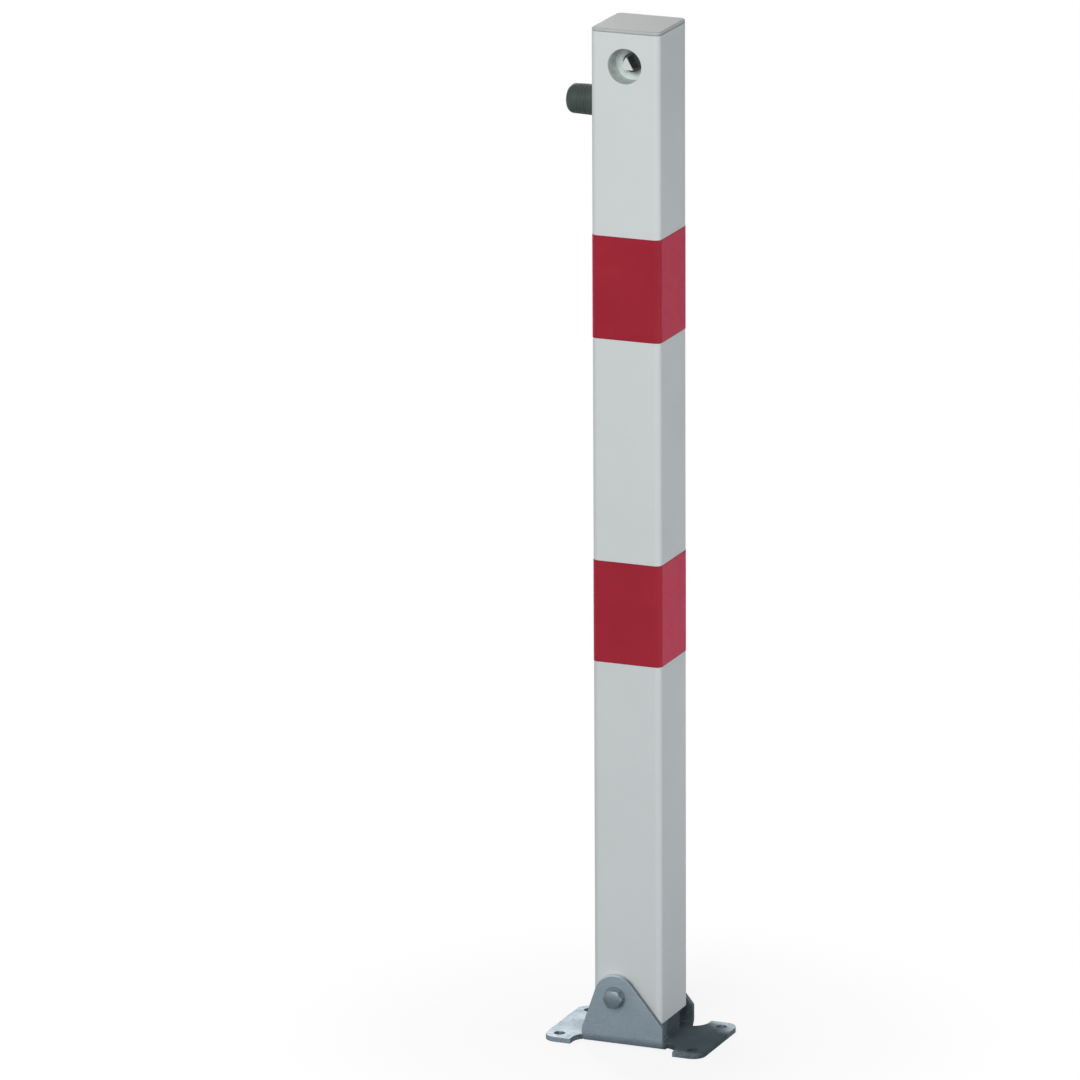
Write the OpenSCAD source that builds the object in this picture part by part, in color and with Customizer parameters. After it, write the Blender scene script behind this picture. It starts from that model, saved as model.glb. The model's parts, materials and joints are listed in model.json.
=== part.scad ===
// Fold-down bollard: a square post that hinges between the two ears of a bolted foot bracket.
// A triangular key turns a pinion near the top, and its rack drives a rod into the catch block.
// The origin is the middle of the bracket's underside. Z is up and the front is -Y.

/* [Post] */
// Height of the cap's top above the ground
total_h = 1000; // [900:10:1100]
// Outside width of the square tube
tube_w = 70; // [68:1:72]
// Wall of the square tube
tube_wall = 3; // [2.5:0.5:3.5]
// Outside radius of the tube's corners
tube_r = 6; // [5:0.5:8]
// Height of the tube's lower end above the ground
tube_z = 25; // [24:1:27]
// Thickness of the cap's flange
cap_t = 3.5; // [3:0.5:5]
// Depth of the cap's skirt inside the tube
skirt_h = 10; // [6:1:10]

/* [Bands] */
// Height of each reflective band
band_h = 100; // [60:5:120]
// Distance from the cap's top to the upper band
upper_band_drop = 200; // [150:5:250]
// Distance from the cap's top to the lower band
lower_band_drop = 518; // [450:1:600]
// Thickness of the reflective film
film_t = 0.3; // [0.2:0.05:0.5]

/* [Foot bracket] */
// Thickness of the folded sheet
sheet_t = 5; // [4:0.5:6]
// Width of the foot plate, left to right
plate_w = 165; // [155:1:180]
// Depth of the foot plate, front to back
plate_d = 102; // [98:1:115]
// Radius of the foot plate's corners
plate_r = 13; // [8:1:15]
// Bolt spacing, left to right
bolt_dx = 138; // [130:1:142]
// Bolt spacing, front to back
bolt_dy = 76; // [72:1:80]
// Diameter of the anchor bolt holes
bolt_hole_d = 11; // [9:0.5:12]
// Inside radius of the folds
fold_r = 5; // [4:0.5:6]
// Left end of the ears
ear_left = -44.5; // [-46:0.5:-40]
// Right end of the ears
ear_right = 39; // [37.5:0.5:42]
// Height of the ears' left shoulder
ear_left_h = 18; // [16:1:22]
// Height of the ears' right shoulder
ear_right_h = 26; // [20:1:27]
// Radius of the ears round the pivot
ear_r = 21.5; // [19:0.5:23]
// Free gap between the tube and each ear
ear_gap = 1.5; // [1:0.25:2.5]

/* [Pivot] */
// Position of the pivot from the post's axis
pivot_x = -10; // [-12:0.5:-9]
// Height of the pivot above the ground
pivot_z = 49; // [48:0.5:51]
// Diameter of the pivot bolt
pivot_d = 10; // [8:1:12]
// Outside diameter of the sleeve through the tube
sleeve_d = 18; // [16:1:20]
// Size of the hexagons across their flats
hex_flats = 17; // [15:1:18]

/* [Lock] */
// Height of the key spindle above the ground
lock_z = 965; // [960:1:966]
// Diameter of the key recess
recess_d = 34; // [32:1:36]
// Depth of the key recess behind the tube's face
recess_depth = 21; // [19:1:22]
// Radius from the axis to the corners of the triangular key end
key_r = 8.4; // [7:0.2:9]
// Number of teeth on the pinion
pinion_teeth = 16; // [16:4:20]
// Tooth module of the pinion and the rack
tooth_module = 1.25; // [1:0.25:1.25]
// Diameter of the locking rod
rod_d = 10; // [8:1:11]
// Distance of the locking rod from the post's axis
rod_x = 23.5; // [23:0.5:24]

/* [Buffer] */
// Height of the rubber buffer above the ground
buffer_z = 922; // [880:1:930]
// Diameter of the rubber buffer near the tube
buffer_d = 30; // [28:1:34]
// How far the buffer stands out of the tube
buffer_len = 36; // [33:0.5:40]

/* [Hidden] */

$fn = 64;
eps = 0.01;

tube_half = tube_w / 2;
tube_top = total_h - cap_t;
inner_w = tube_w - 2 * tube_wall;
inner_half = inner_w / 2;
inner_r = tube_r - tube_wall;
fit_gap = 0.2;
cap_edge_r = 1.4;
cap_seam_h = 0.8;
cap_seam_depth = 1.2;
skirt_w = inner_w - 2 * fit_gap;
skirt_wall = 2;
cap_rib_w = 1.6;
cap_rib_x = 18;
gusset_len = 7;

ear_in = tube_half + ear_gap;
ear_out = ear_in + sheet_t;
fold_start = ear_in - fold_r;
fold_relief = 2.5;
notch_w = 106;
notch_r = 16;
notch_y = fold_start - fold_relief;
ear_corner_r = 4;
ear_hole_d = pivot_d + 0.4;

running_gap = 0.075;
washer_t = 2;
washer_d = 20;
washer_bore_d = pivot_d + 0.5;
corner_d = hex_flats / cos(30);
chamfer_d = hex_flats - 1;
head_h = 6.4;
head_chamfer = 1.4;
nut_h = 8;
nut_chamfer = 1;
nut_collar_h = 2;
nut_collar_d = 14.5;
nut_mouth_d = pivot_d + 1;
nylon_d = pivot_d + 3;
nylon_lip = 0.5;
nylon_depth = 1;
bolt_end = 3;
bolt_chamfer = 1;
sleeve_proud = ear_gap - 0.3;

block_w = 16;
block_d = 44;
block_top = tube_z - 0.2;
block_bore_d = rod_d + 1;
block_chamfer = 1;
guide_z = 878;
guide_t = 4;
foot_t = 6;

cup_wall = 3;
cup_end_t = 4;
cup_floor_y = -tube_half + recess_depth;
cup_end_y = cup_floor_y + cup_end_t;
key_front_y = -tube_half + 4;
key_blunt = 0.8;
collar_d = 18;
collar_t = 2;
collar_gap = 0.1;
journal_d = 12;
shaft_d = 10;
shaft_end_y = 20;
ring_t = 1;
ring_gap = 0.1;
ring_d = 17;
ring_slot = 1.6;
lug_r = 2;
lug_x = 2.6;
lug_eye_r = 0.7;
groove_d = 10.8;
journal_end_y = cup_end_y + 2.6;

pitch_r = tooth_module * pinion_teeth / 2;
pressure = 20;
base_r = pitch_r * cos(pressure);
addendum = 0.9 * tooth_module;
dedendum = 1.25 * tooth_module;
tip_r = pitch_r + addendum;
root_r = pitch_r - dedendum;
backlash = 0.12;
tooth_pitch = PI * tooth_module;
gear_half_w = 6;
hub_d = 16;
hub_end_y = 13;
pin_d = 3;
pin_bore_d = 1.8;
hub_pin_y = 9.5;
quarter_stroke = pitch_r * PI / 2;

rack_half_w = 5.5;
rack_teeth = 7;
rack_mid_z = lock_z + quarter_stroke / 2;
rack_low_z = rack_mid_z - 23;
rod_top_z = 992;
rod_low_z = tube_z + 0.5;
rod_flat_x = rod_x - rod_d / 2 + 1;
rod_chamfer = 1.5;
rack_pin_z = [rack_low_z + 4, rod_top_z - 3];
rack_pin_end = 1;

bearing_y = 14;
bearing_t = 3;
bearing_h = 30;
bearing_leg = 16;
bearing_fold_r = 1;

rivet_flange_d = 15;
rivet_flange_t = 1.2;
rivet_body_d = 11;
rivet_bulge_h = 5;
rivet_len = 12;
stud_d = 8;
stud_disc_d = 22;
stud_disc_t = 2;
stud_disc_z = rivet_flange_t + 1;
stud_end = 18;
buffer_flare = 1.5;
buffer_flare_h = 3;
buffer_taper = 0.75;
buffer_crown_h = 2.5;
buffer_edge_r = 6;
buffer_groove_z = [15, 18.5, 22];
buffer_groove_r = 0.9;
buffer_groove_depth = 0.45;

white = [0.86, 0.88, 0.87];
red = [0.66, 0.16, 0.21];
zinc = [0.62, 0.66, 0.69];
steel = [0.55, 0.57, 0.58];
dark_rubber = [0.16, 0.18, 0.17];
nylon = [0.85, 0.86, 0.82];

// Extrudes an X-Z outline from y0 to y1
module along_y(y0, y1) {
    translate([0, y1, 0])
        rotate([90, 0, 0])
            linear_extrude(height = y1 - y0)
                children();
}

// Extrudes a Y-Z outline from x0 to x1
module along_x(x0, x1) {
    translate([x0, 0, 0])
        rotate([90, 0, 90])
            linear_extrude(height = x1 - x0)
                children();
}

// Round bar along Y from y0 to y1
module bar_y(d, y0, y1) {
    translate([0, y1, 0])
        rotate([90, 0, 0])
            cylinder(d = d, h = y1 - y0);
}

// Round bar along X from x0 to x1
module bar_x(d, x0, x1) {
    translate([x0, 0, 0])
        rotate([0, 90, 0])
            cylinder(d = d, h = x1 - x0);
}

module rounded_rect(w, d, r) {
    square([w - 2 * r, d], center = true);
    square([w, d - 2 * r], center = true);
    for (x = [-1, 1], y = [-1, 1])
        translate([x * (w / 2 - r), y * (d / 2 - r)])
            circle(r = r);
}

module tube_ring(outer_w, outer_r, inner_w, inner_r) {
    difference() {
        rounded_rect(outer_w, outer_w, outer_r);
        rounded_rect(inner_w, inner_w, inner_r);
    }
}

module at_pivot() {
    translate([pivot_x, 0, pivot_z])
        children();
}

module at_lock() {
    translate([0, 0, lock_z])
        children();
}

module at_rod() {
    translate([rod_x, 0, 0])
        children();
}

// Points the part's +Z to the left, starting on the tube's left face
module at_buffer() {
    translate([-tube_half, 0, buffer_z])
        rotate([0, -90, 0])
            children();
}

module foot_outline() {
    difference() {
        rounded_rect(plate_w, plate_d, plate_r);
        for (side = [-1, 1])
            translate([0, side * (notch_y + plate_d / 2)])
                rounded_rect(notch_w, plate_d, notch_r);
        for (x = [-1, 1], y = [-1, 1])
            translate([x * bolt_dx / 2, y * bolt_dy / 2])
                circle(d = bolt_hole_d);
    }
}

// Flat start, fold and upright of the front ear, in the Y-Z plane
module ear_section() {
    fold_out = fold_r + sheet_t;
    translate([-fold_start, fold_out])
        difference() {
            circle(r = fold_out);
            circle(r = fold_r);
            translate([0, -2 * fold_out])
                square([2 * fold_out, 4 * fold_out]);
            translate([-2 * fold_out, 0])
                square([4 * fold_out, 2 * fold_out]);
        }
    translate([-fold_start, 0])
        square([fold_start - notch_y + 1, sheet_t]);
    translate([-ear_out, fold_out])
        square([sheet_t, pivot_z + ear_r]);
}

module ear_outline() {
    hull() {
        translate([pivot_x, pivot_z])
            circle(r = ear_r);
        translate([ear_left + ear_corner_r, ear_left_h - ear_corner_r])
            circle(r = ear_corner_r, $fn = 32);
        translate([ear_right - ear_corner_r, ear_right_h - ear_corner_r])
            circle(r = ear_corner_r, $fn = 32);
        translate([ear_left, 0])
            square([ear_right - ear_left, 1]);
    }
}

module ear() {
    difference() {
        intersection() {
            along_x(ear_left, ear_right)
                ear_section();
            along_y(-ear_out - 1, 0)
                ear_outline();
        }
        at_pivot()
            bar_y(ear_hole_d, -ear_out - 1, 0);
    }
}

module base_bracket() {
    color(zinc) {
        linear_extrude(height = sheet_t)
            foot_outline();
        ear();
        mirror([0, 1, 0])
            ear();
    }
}

module catch_block() {
    color(zinc)
        difference() {
            translate([rod_x - block_w / 2, -block_d / 2, sheet_t])
                cube([block_w, block_d, block_top - sheet_t]);
            at_rod() {
                translate([0, 0, sheet_t - eps])
                    cylinder(d = block_bore_d, h = block_top);
                translate([0, 0, block_top - block_chamfer])
                    cylinder(
                        d1 = block_bore_d,
                        d2 = block_bore_d + 2 * block_chamfer,
                        h = block_chamfer + eps
                    );
            }
        }
}

// Hexagon along Y from y0 to y1, with its corners chamfered at each end
module hexagon(y0, y1, chamfer_front, chamfer_rear) {
    intersection() {
        translate([0, y1, 0])
            rotate([90, 0, 0])
                cylinder(d = corner_d, h = y1 - y0, $fn = 6);
        union() {
            translate([0, y0 + chamfer_front, 0])
                rotate([90, 0, 0])
                    cylinder(d1 = corner_d, d2 = chamfer_d, h = chamfer_front);
            bar_y(corner_d, y0 + chamfer_front, y1 - chamfer_rear);
            translate([0, y1 - chamfer_rear, 0])
                rotate([-90, 0, 0])
                    cylinder(d1 = corner_d, d2 = chamfer_d, h = chamfer_rear);
        }
    }
}

module pivot_bolt() {
    head_y = -ear_out - washer_t;
    end_y = ear_out + washer_t + nut_h + nut_collar_h + bolt_end;
    color(steel)
        at_pivot() {
            hexagon(head_y - head_h, head_y, head_chamfer, eps);
            bar_y(pivot_d, head_y - 1, end_y - bolt_chamfer);
            translate([0, end_y - bolt_chamfer, 0])
                rotate([-90, 0, 0])
                    cylinder(d1 = pivot_d, d2 = pivot_d - 2 * bolt_chamfer, h = bolt_chamfer);
        }
}

module washer() {
    difference() {
        bar_y(washer_d, 0, washer_t);
        bar_y(washer_bore_d, -1, washer_t + 1);
    }
}

module pivot_washer_front() {
    color(steel)
        at_pivot()
            translate([0, -ear_out - washer_t, 0])
                washer();
}

module pivot_washer_rear() {
    color(steel)
        at_pivot()
            translate([0, ear_out, 0])
                washer();
}

// Solid form of the nylon ring in the lock nut's collar
module nylon_space() {
    nut_end_y = ear_out + washer_t + nut_h;
    bar_y(nylon_d, nut_end_y - nylon_depth, nut_end_y + nut_collar_h - nylon_lip);
}

module pivot_lock_nut() {
    nut_y = ear_out + washer_t;
    nut_end_y = nut_y + nut_h;
    color(steel)
        at_pivot()
            difference() {
                union() {
                    hexagon(nut_y, nut_end_y, nut_chamfer, nut_chamfer);
                    bar_y(nut_collar_d, nut_end_y - 1, nut_end_y + nut_collar_h);
                }
                bar_y(pivot_d, nut_y - 1, nut_end_y + 1);
                nylon_space();
                bar_y(nut_mouth_d, nut_end_y, nut_end_y + nut_collar_h + 1);
            }
}

module lock_nut_ring() {
    color(nylon)
        at_pivot()
            difference() {
                nylon_space();
                bar_y(pivot_d, ear_out, ear_out + washer_t + nut_h + nut_collar_h);
            }
}

module post_tube() {
    color(white)
        difference() {
            translate([0, 0, tube_z])
                linear_extrude(height = tube_top - tube_z)
                    tube_ring(tube_w, tube_r, inner_w, inner_r);
            at_lock()
                bar_y(recess_d, -tube_half - 1, -tube_half + tube_wall + 1);
            at_pivot()
                bar_y(sleeve_d, -tube_half - 1, tube_half + 1);
            at_buffer()
                translate([0, 0, -tube_wall - 1])
                    cylinder(d = rivet_body_d, h = tube_wall + 2);
        }
}

// Rounded puck at one corner of the cap's flange
module cap_corner() {
    puck_h = cap_t - cap_seam_h;
    rotate_extrude($fn = 40)
        intersection() {
            union() {
                square([tube_r, puck_h - cap_edge_r]);
                square([tube_r - cap_edge_r, puck_h]);
                translate([tube_r - cap_edge_r, puck_h - cap_edge_r])
                    circle(r = cap_edge_r, $fn = 24);
            }
            square([tube_r, puck_h]);
        }
}

module top_cap() {
    corner_x = tube_half - tube_r;
    seam_w = tube_w - 2 * cap_seam_depth;
    color(white) {
        // Step that leaves a seam between the flange and the tube's end
        translate([0, 0, tube_top])
            linear_extrude(height = cap_seam_h + 0.5)
                rounded_rect(seam_w, seam_w, tube_r - cap_seam_depth);
        translate([0, 0, tube_top + cap_seam_h])
            hull()
                for (x = [-1, 1], y = [-1, 1])
                    translate([x * corner_x, y * corner_x])
                        cap_corner();
        translate([0, 0, tube_top - skirt_h]) {
            linear_extrude(height = skirt_h + 1)
                tube_ring(skirt_w, inner_r, skirt_w - 2 * skirt_wall, inner_r - 1);
            // Crush ribs that wedge the skirt in the tube
            for (turn = [0 : 90 : 270], x = [-cap_rib_x, cap_rib_x])
                rotate([0, 0, turn])
                    translate([x - cap_rib_w / 2, skirt_w / 2 - 1, 2])
                        cube([cap_rib_w, 1 + fit_gap, skirt_h - 2]);
            // Gussets across the corners
            for (turn = [45 : 90 : 315])
                rotate([0, 0, turn])
                    translate([skirt_w / 2 + 4, -cap_rib_w / 2, 3])
                        cube([gusset_len, cap_rib_w, skirt_h - 2]);
        }
    }
}

module band(drop) {
    translate([0, 0, total_h - drop - band_h])
        linear_extrude(height = band_h)
            tube_ring(tube_w + 2 * film_t, tube_r + film_t, tube_w, tube_r);
}

module upper_band() {
    color(red)
        band(upper_band_drop);
}

module lower_band() {
    color(red)
        band(lower_band_drop);
}

module pivot_sleeve() {
    end_y = tube_half + sleeve_proud;
    color(steel)
        at_pivot()
            difference() {
                bar_y(sleeve_d, -end_y, end_y);
                bar_y(pivot_d + 2 * running_gap, -end_y - 1, end_y + 1);
            }
}

// Plate that closes the tube's section and guides the rod
module guide_disc(z, t) {
    difference() {
        translate([0, 0, z])
            linear_extrude(height = t)
                rounded_rect(inner_w, inner_w, inner_r);
        at_rod()
            translate([0, 0, z - 1])
                cylinder(d = rod_d + 2 * running_gap, h = t + 2);
    }
}

module foot_plate() {
    color(steel)
        guide_disc(tube_z, foot_t);
}

module rod_guide() {
    color(steel)
        guide_disc(guide_z, guide_t);
}

module lock_sleeve() {
    color(zinc)
        at_lock()
            difference() {
                bar_y(recess_d + 2 * cup_wall, -tube_half + tube_wall, cup_end_y);
                bar_y(recess_d, -tube_half, cup_floor_y);
                bar_y(journal_d + 2 * running_gap, cup_floor_y - 1, cup_end_y + 1);
            }
}

// Folded sheet behind the pinion, open to the rear
module bearing_section() {
    outer_r = bearing_fold_r + bearing_t;
    translate([0, bearing_y + bearing_leg / 2])
        difference() {
            rounded_rect(inner_w, bearing_leg, outer_r);
            translate([0, bearing_t])
                rounded_rect(inner_w - 2 * bearing_t, bearing_leg, bearing_fold_r);
            translate([-inner_half, bearing_leg / 2 - outer_r])
                square([inner_w, outer_r + 1]);
        }
}

module gear_bracket() {
    color(zinc)
        difference() {
            translate([0, 0, lock_z - bearing_h / 2])
                linear_extrude(height = bearing_h)
                    bearing_section();
            at_lock()
                bar_y(shaft_d + 2 * running_gap, bearing_y - 1, bearing_y + bearing_t + 1);
        }
}

// Tapered side with a flared foot, and a low crown with a rounded edge
module buffer_profile() {
    r = buffer_d / 2;
    end_r = r - buffer_taper;
    flare_r = r + buffer_flare;
    crown_r = (end_r * end_r + buffer_crown_h * buffer_crown_h) / (2 * buffer_crown_h);
    crown_z = buffer_len - crown_r;
    edge_x = end_r - buffer_edge_r;
    edge_z = crown_z + sqrt(pow(crown_r - buffer_edge_r, 2) - pow(edge_x, 2));
    crown_w = edge_x * crown_r / (crown_r - buffer_edge_r);
    difference() {
        union() {
            polygon([
                [0, 0],
                [flare_r, 0],
                [flare_r, 1],
                [r, buffer_flare_h],
                [end_r, edge_z],
                [0, edge_z]
            ]);
            translate([edge_x, edge_z])
                circle(r = buffer_edge_r);
            intersection() {
                translate([0, edge_z])
                    square([crown_w, buffer_len]);
                translate([0, crown_z])
                    circle(r = crown_r);
            }
        }
        // Moulded grooves round the side
        for (z = buffer_groove_z)
            let (side_r = r - buffer_taper * (z - buffer_flare_h) / (edge_z - buffer_flare_h))
                translate([side_r + buffer_groove_r - buffer_groove_depth, z])
                    circle(r = buffer_groove_r, $fn = 24);
    }
}

module rubber_buffer() {
    color(dark_rubber)
        at_buffer()
            difference() {
                rotate_extrude()
                    buffer_profile();
                translate([0, 0, -1])
                    cylinder(d = rivet_flange_d, h = 1 + rivet_flange_t);
                cylinder(d = stud_d, h = stud_disc_z + 1);
                translate([0, 0, stud_disc_z])
                    cylinder(d = stud_disc_d, h = stud_disc_t);
            }
}

module buffer_stud() {
    color(steel)
        at_buffer() {
            translate([0, 0, -stud_end])
                cylinder(d = stud_d, h = stud_end + stud_disc_z + eps);
            translate([0, 0, stud_disc_z])
                cylinder(d = stud_disc_d, h = stud_disc_t);
        }
}

module buffer_rivet_nut() {
    color(steel)
        at_buffer()
            difference() {
                union() {
                    cylinder(d = rivet_flange_d, h = rivet_flange_t);
                    translate([0, 0, -tube_wall - rivet_len])
                        cylinder(d = rivet_body_d, h = tube_wall + rivet_len + eps);
                    translate([0, 0, -tube_wall - rivet_bulge_h])
                        cylinder(d = rivet_flange_d, h = rivet_bulge_h);
                }
                translate([0, 0, -tube_wall - rivet_len - 1])
                    cylinder(d = stud_d, h = tube_wall + rivet_len + rivet_flange_t + 2);
            }
}

module lock_spindle() {
    collar_y = cup_floor_y - collar_gap - collar_t;
    groove_y = cup_end_y + ring_gap;
    key_root_y = collar_y + 1;
    color(steel)
        at_lock()
            difference() {
                union() {
                    intersection() {
                        translate([0, key_root_y, 0])
                            rotate([90, 30, 0])
                                cylinder(r = key_r, h = key_root_y - key_front_y, $fn = 3);
                        bar_y(2 * (key_r - key_blunt), key_front_y, key_root_y);
                    }
                    bar_y(collar_d, collar_y, cup_floor_y - collar_gap);
                    bar_y(journal_d, collar_y + 1, groove_y);
                    bar_y(groove_d, groove_y - 1, groove_y + ring_t + 1);
                    bar_y(journal_d, groove_y + ring_t, journal_end_y);
                    bar_y(shaft_d, journal_end_y - 1, shaft_end_y);
                }
                translate([0, hub_pin_y, -hub_d])
                    cylinder(d = pin_d, h = 2 * hub_d);
            }
}

// Retaining ring with its two eyed lugs below the spindle
module spindle_ring() {
    ring_y = cup_end_y + ring_gap;
    color(steel)
        at_lock()
            along_y(ring_y, ring_y + ring_t)
                difference() {
                    union() {
                        circle(d = ring_d);
                        for (side = [-1, 1])
                            translate([side * lug_x, -ring_d / 2])
                                circle(r = lug_r);
                    }
                    circle(d = groove_d);
                    translate([-ring_slot / 2, -ring_d])
                        square([ring_slot, ring_d]);
                    for (side = [-1, 1])
                        translate([side * lug_x, -ring_d / 2])
                            circle(r = lug_eye_r, $fn = 16);
                }
}

// Involute of the pinion's base circle, as the angle swept at radius r
function involute(r) = let (a = acos(min(1, base_r / r))) tan(a) * 180 / PI - a;
function tooth_half_angle(r) =
    90 / pinion_teeth - backlash / pitch_r * 90 / PI + involute(pitch_r) - involute(max(r, base_r));
function polar(r, a) = [r * cos(a), r * sin(a)];
function flank(side, from, to, steps) = [
    for (k = [0 : steps])
        let (r = from + (to - from) * k / steps)
            [r, side * tooth_half_angle(r)]
];
function tooth_points(mid) = [
    for (p = concat([[root_r, -tooth_half_angle(root_r)]], flank(-1, base_r, tip_r, 4),
                    flank(1, tip_r, base_r, 4), [[root_r, tooth_half_angle(root_r)]]))
        polar(p[0], mid + p[1])
];

module pinion() {
    color(steel)
        at_lock()
            difference() {
                union() {
                    along_y(-gear_half_w, gear_half_w)
                        polygon([
                            for (i = [0 : pinion_teeth - 1])
                                each tooth_points((i + 0.5) * 360 / pinion_teeth)
                        ]);
                    bar_y(hub_d, gear_half_w - 1, hub_end_y);
                }
                bar_y(shaft_d, -gear_half_w - 1, hub_end_y + 1);
                translate([0, hub_pin_y, -hub_d])
                    cylinder(d = pin_d, h = 2 * hub_d);
            }
}

module pinion_pin() {
    slit = 0.5;
    color(steel)
        at_lock()
            translate([0, hub_pin_y, -hub_d / 2])
                linear_extrude(height = hub_d)
                    difference() {
                        circle(d = pin_d);
                        circle(d = pin_bore_d);
                        translate([0, -slit / 2])
                            square([pin_d, slit]);
                    }
}

module rack_outline() {
    half_pitch_w = tooth_pitch / 4 - backlash / 2;
    tip_half = half_pitch_w - addendum * tan(pressure);
    root_half = half_pitch_w + dedendum * tan(pressure);
    root_x = pitch_r + dedendum;
    tip_x = pitch_r - addendum;
    polygon([
        [rod_flat_x, rack_low_z],
        [root_x, rack_low_z],
        for (i = [0 : rack_teeth - 1])
            let (z = rack_mid_z + (i - (rack_teeth - 1) / 2) * tooth_pitch)
                each [[root_x, z - root_half], [tip_x, z - tip_half],
                      [tip_x, z + tip_half], [root_x, z + root_half]],
        [root_x, rod_top_z],
        [rod_flat_x, rod_top_z]
    ]);
}

module rack_pin_holes() {
    for (z = rack_pin_z)
        translate([0, 0, z])
            bar_x(pin_d, 0, inner_half);
}

module rack() {
    color(steel)
        difference() {
            along_y(-rack_half_w, rack_half_w)
                rack_outline();
            rack_pin_holes();
        }
}

module rack_pins() {
    start_x = pitch_r + dedendum;
    end_x = rod_x + rod_d / 2 - rack_pin_end;
    color(steel)
        for (z = rack_pin_z)
            translate([0, 0, z])
                bar_x(pin_d, start_x, end_x);
}

module locking_rod() {
    color(steel)
        difference() {
            at_rod() {
                translate([0, 0, rod_low_z])
                    cylinder(d1 = rod_d - 2 * rod_chamfer, d2 = rod_d, h = rod_chamfer);
                translate([0, 0, rod_low_z + rod_chamfer])
                    cylinder(d = rod_d, h = rod_top_z - rod_low_z - rod_chamfer);
            }
            // Flat that carries the rack
            translate([0, -rod_d, rack_low_z])
                cube([rod_flat_x, 2 * rod_d, rod_top_z]);
            rack_pin_holes();
        }
}

base_bracket();
catch_block();
pivot_bolt();
pivot_washer_front();
pivot_washer_rear();
pivot_lock_nut();
lock_nut_ring();
post_tube();
top_cap();
upper_band();
lower_band();
pivot_sleeve();
foot_plate();
rod_guide();
lock_sleeve();
gear_bracket();
rubber_buffer();
buffer_stud();
buffer_rivet_nut();
lock_spindle();
spindle_ring();
pinion();
pinion_pin();
locking_rod();
rack();
rack_pins();
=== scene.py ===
import json
import math

import bmesh
import bpy
from mathutils import Matrix, Vector


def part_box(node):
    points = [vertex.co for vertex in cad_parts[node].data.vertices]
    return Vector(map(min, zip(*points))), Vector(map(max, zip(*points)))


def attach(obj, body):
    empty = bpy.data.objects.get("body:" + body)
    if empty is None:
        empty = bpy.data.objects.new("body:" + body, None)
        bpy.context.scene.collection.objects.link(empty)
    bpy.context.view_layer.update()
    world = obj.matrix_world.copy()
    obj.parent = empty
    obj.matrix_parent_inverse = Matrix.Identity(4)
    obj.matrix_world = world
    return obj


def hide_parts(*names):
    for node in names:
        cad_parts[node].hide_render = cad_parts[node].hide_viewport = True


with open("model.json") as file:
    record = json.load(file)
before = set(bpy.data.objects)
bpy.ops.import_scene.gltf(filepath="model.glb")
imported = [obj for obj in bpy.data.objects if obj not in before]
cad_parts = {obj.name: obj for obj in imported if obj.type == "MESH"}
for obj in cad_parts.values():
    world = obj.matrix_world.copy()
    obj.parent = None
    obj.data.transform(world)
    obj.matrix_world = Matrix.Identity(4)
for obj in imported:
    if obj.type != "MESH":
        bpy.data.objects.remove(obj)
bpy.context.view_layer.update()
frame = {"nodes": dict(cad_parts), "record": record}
nodes = frame["nodes"]
scene = bpy.context.scene
mm = 0.001
print("frame loaded with", len(nodes), "nodes")

# Camera

cameraSetup = {
    "azimuth": 22.12,  # degrees to the right of the post's front
    "distance": 9.0,  # from the post's axis, in plan
    "height": 3.0125,
    "turn": 0.604,  # past the axis, so that the post stands right of the middle
    "pitch": 15.62,
    "roll": -0.3,
    "lens": 327.2,  # millimetres, as the sensor's width
    "sensor": 36,
    "reach": 60,  # how far it sees
}


def makeCamera(setup):
    data = bpy.data.cameras.new("camera")
    data.sensor_width = setup["sensor"]
    data.lens = setup["lens"]
    data.clip_end = setup["reach"]
    camera = bpy.data.objects.new("camera", data)
    scene.collection.objects.link(camera)
    side = math.radians(setup["azimuth"])
    place = Vector((math.sin(side), -math.cos(side), 0)) * setup["distance"]
    place.z = setup["height"]
    heading = Matrix.Rotation(side + math.radians(setup["turn"]), 4, "Z")
    pitch = Matrix.Rotation(math.radians(90 - setup["pitch"]), 4, "X")
    roll = Matrix.Rotation(math.radians(setup["roll"]), 4, "Z")
    camera.matrix_world = Matrix.Translation(place) @ heading @ pitch @ roll
    scene.camera = camera


makeCamera(cameraSetup)
print("camera placed")

# Helpers for node trees


def setInputs(tree, made, inputs):
    for name, value in inputs.items():
        if isinstance(value, bpy.types.NodeSocket):
            tree.links.new(value, made.inputs[name])
        else:
            made.inputs[name].default_value = value
    return made


def addNode(tree, kind, inputs=None, **settings):
    made = tree.nodes.new("ShaderNode" + kind)
    for name, value in settings.items():
        setattr(made, name, value)
    return setInputs(tree, made, inputs or {})


def calc(tree, operation, *values, clamp=False):
    made = addNode(tree, "Math", dict(enumerate(values)), operation=operation, use_clamp=clamp)
    return made.outputs[0]


def noise(tree, place, scale, detail=2.0, roughness=0.5):
    inputs = {"Vector": place, "Scale": scale, "Detail": detail, "Roughness": roughness}
    return addNode(tree, "TexNoise", inputs).outputs["Fac"]


def remap(tree, value, low, high, toLow=0.0, toHigh=1.0):
    inputs = {"Value": value, "From Min": low, "From Max": high, "To Min": toLow, "To Max": toHigh}
    return addNode(tree, "MapRange", inputs, interpolation_type="SMOOTHSTEP").outputs["Result"]


def blend(tree, factor, first, second):
    # sockets 6 and 7 are the two colours, 2 is the mixed colour
    inputs = {0: factor, 6: first, 7: second}
    return addNode(tree, "Mix", inputs, data_type="RGBA").outputs[2]


def cover(tree, tone, color, mask, share):
    return blend(tree, calc(tree, "MULTIPLY", mask, share), tone, color)


def stretch(tree, place, scale, turn=(0, 0, 0)):
    inputs = {"Vector": place, "Rotation": turn, "Scale": scale}
    return addNode(tree, "Mapping", inputs).outputs["Vector"]


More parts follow.
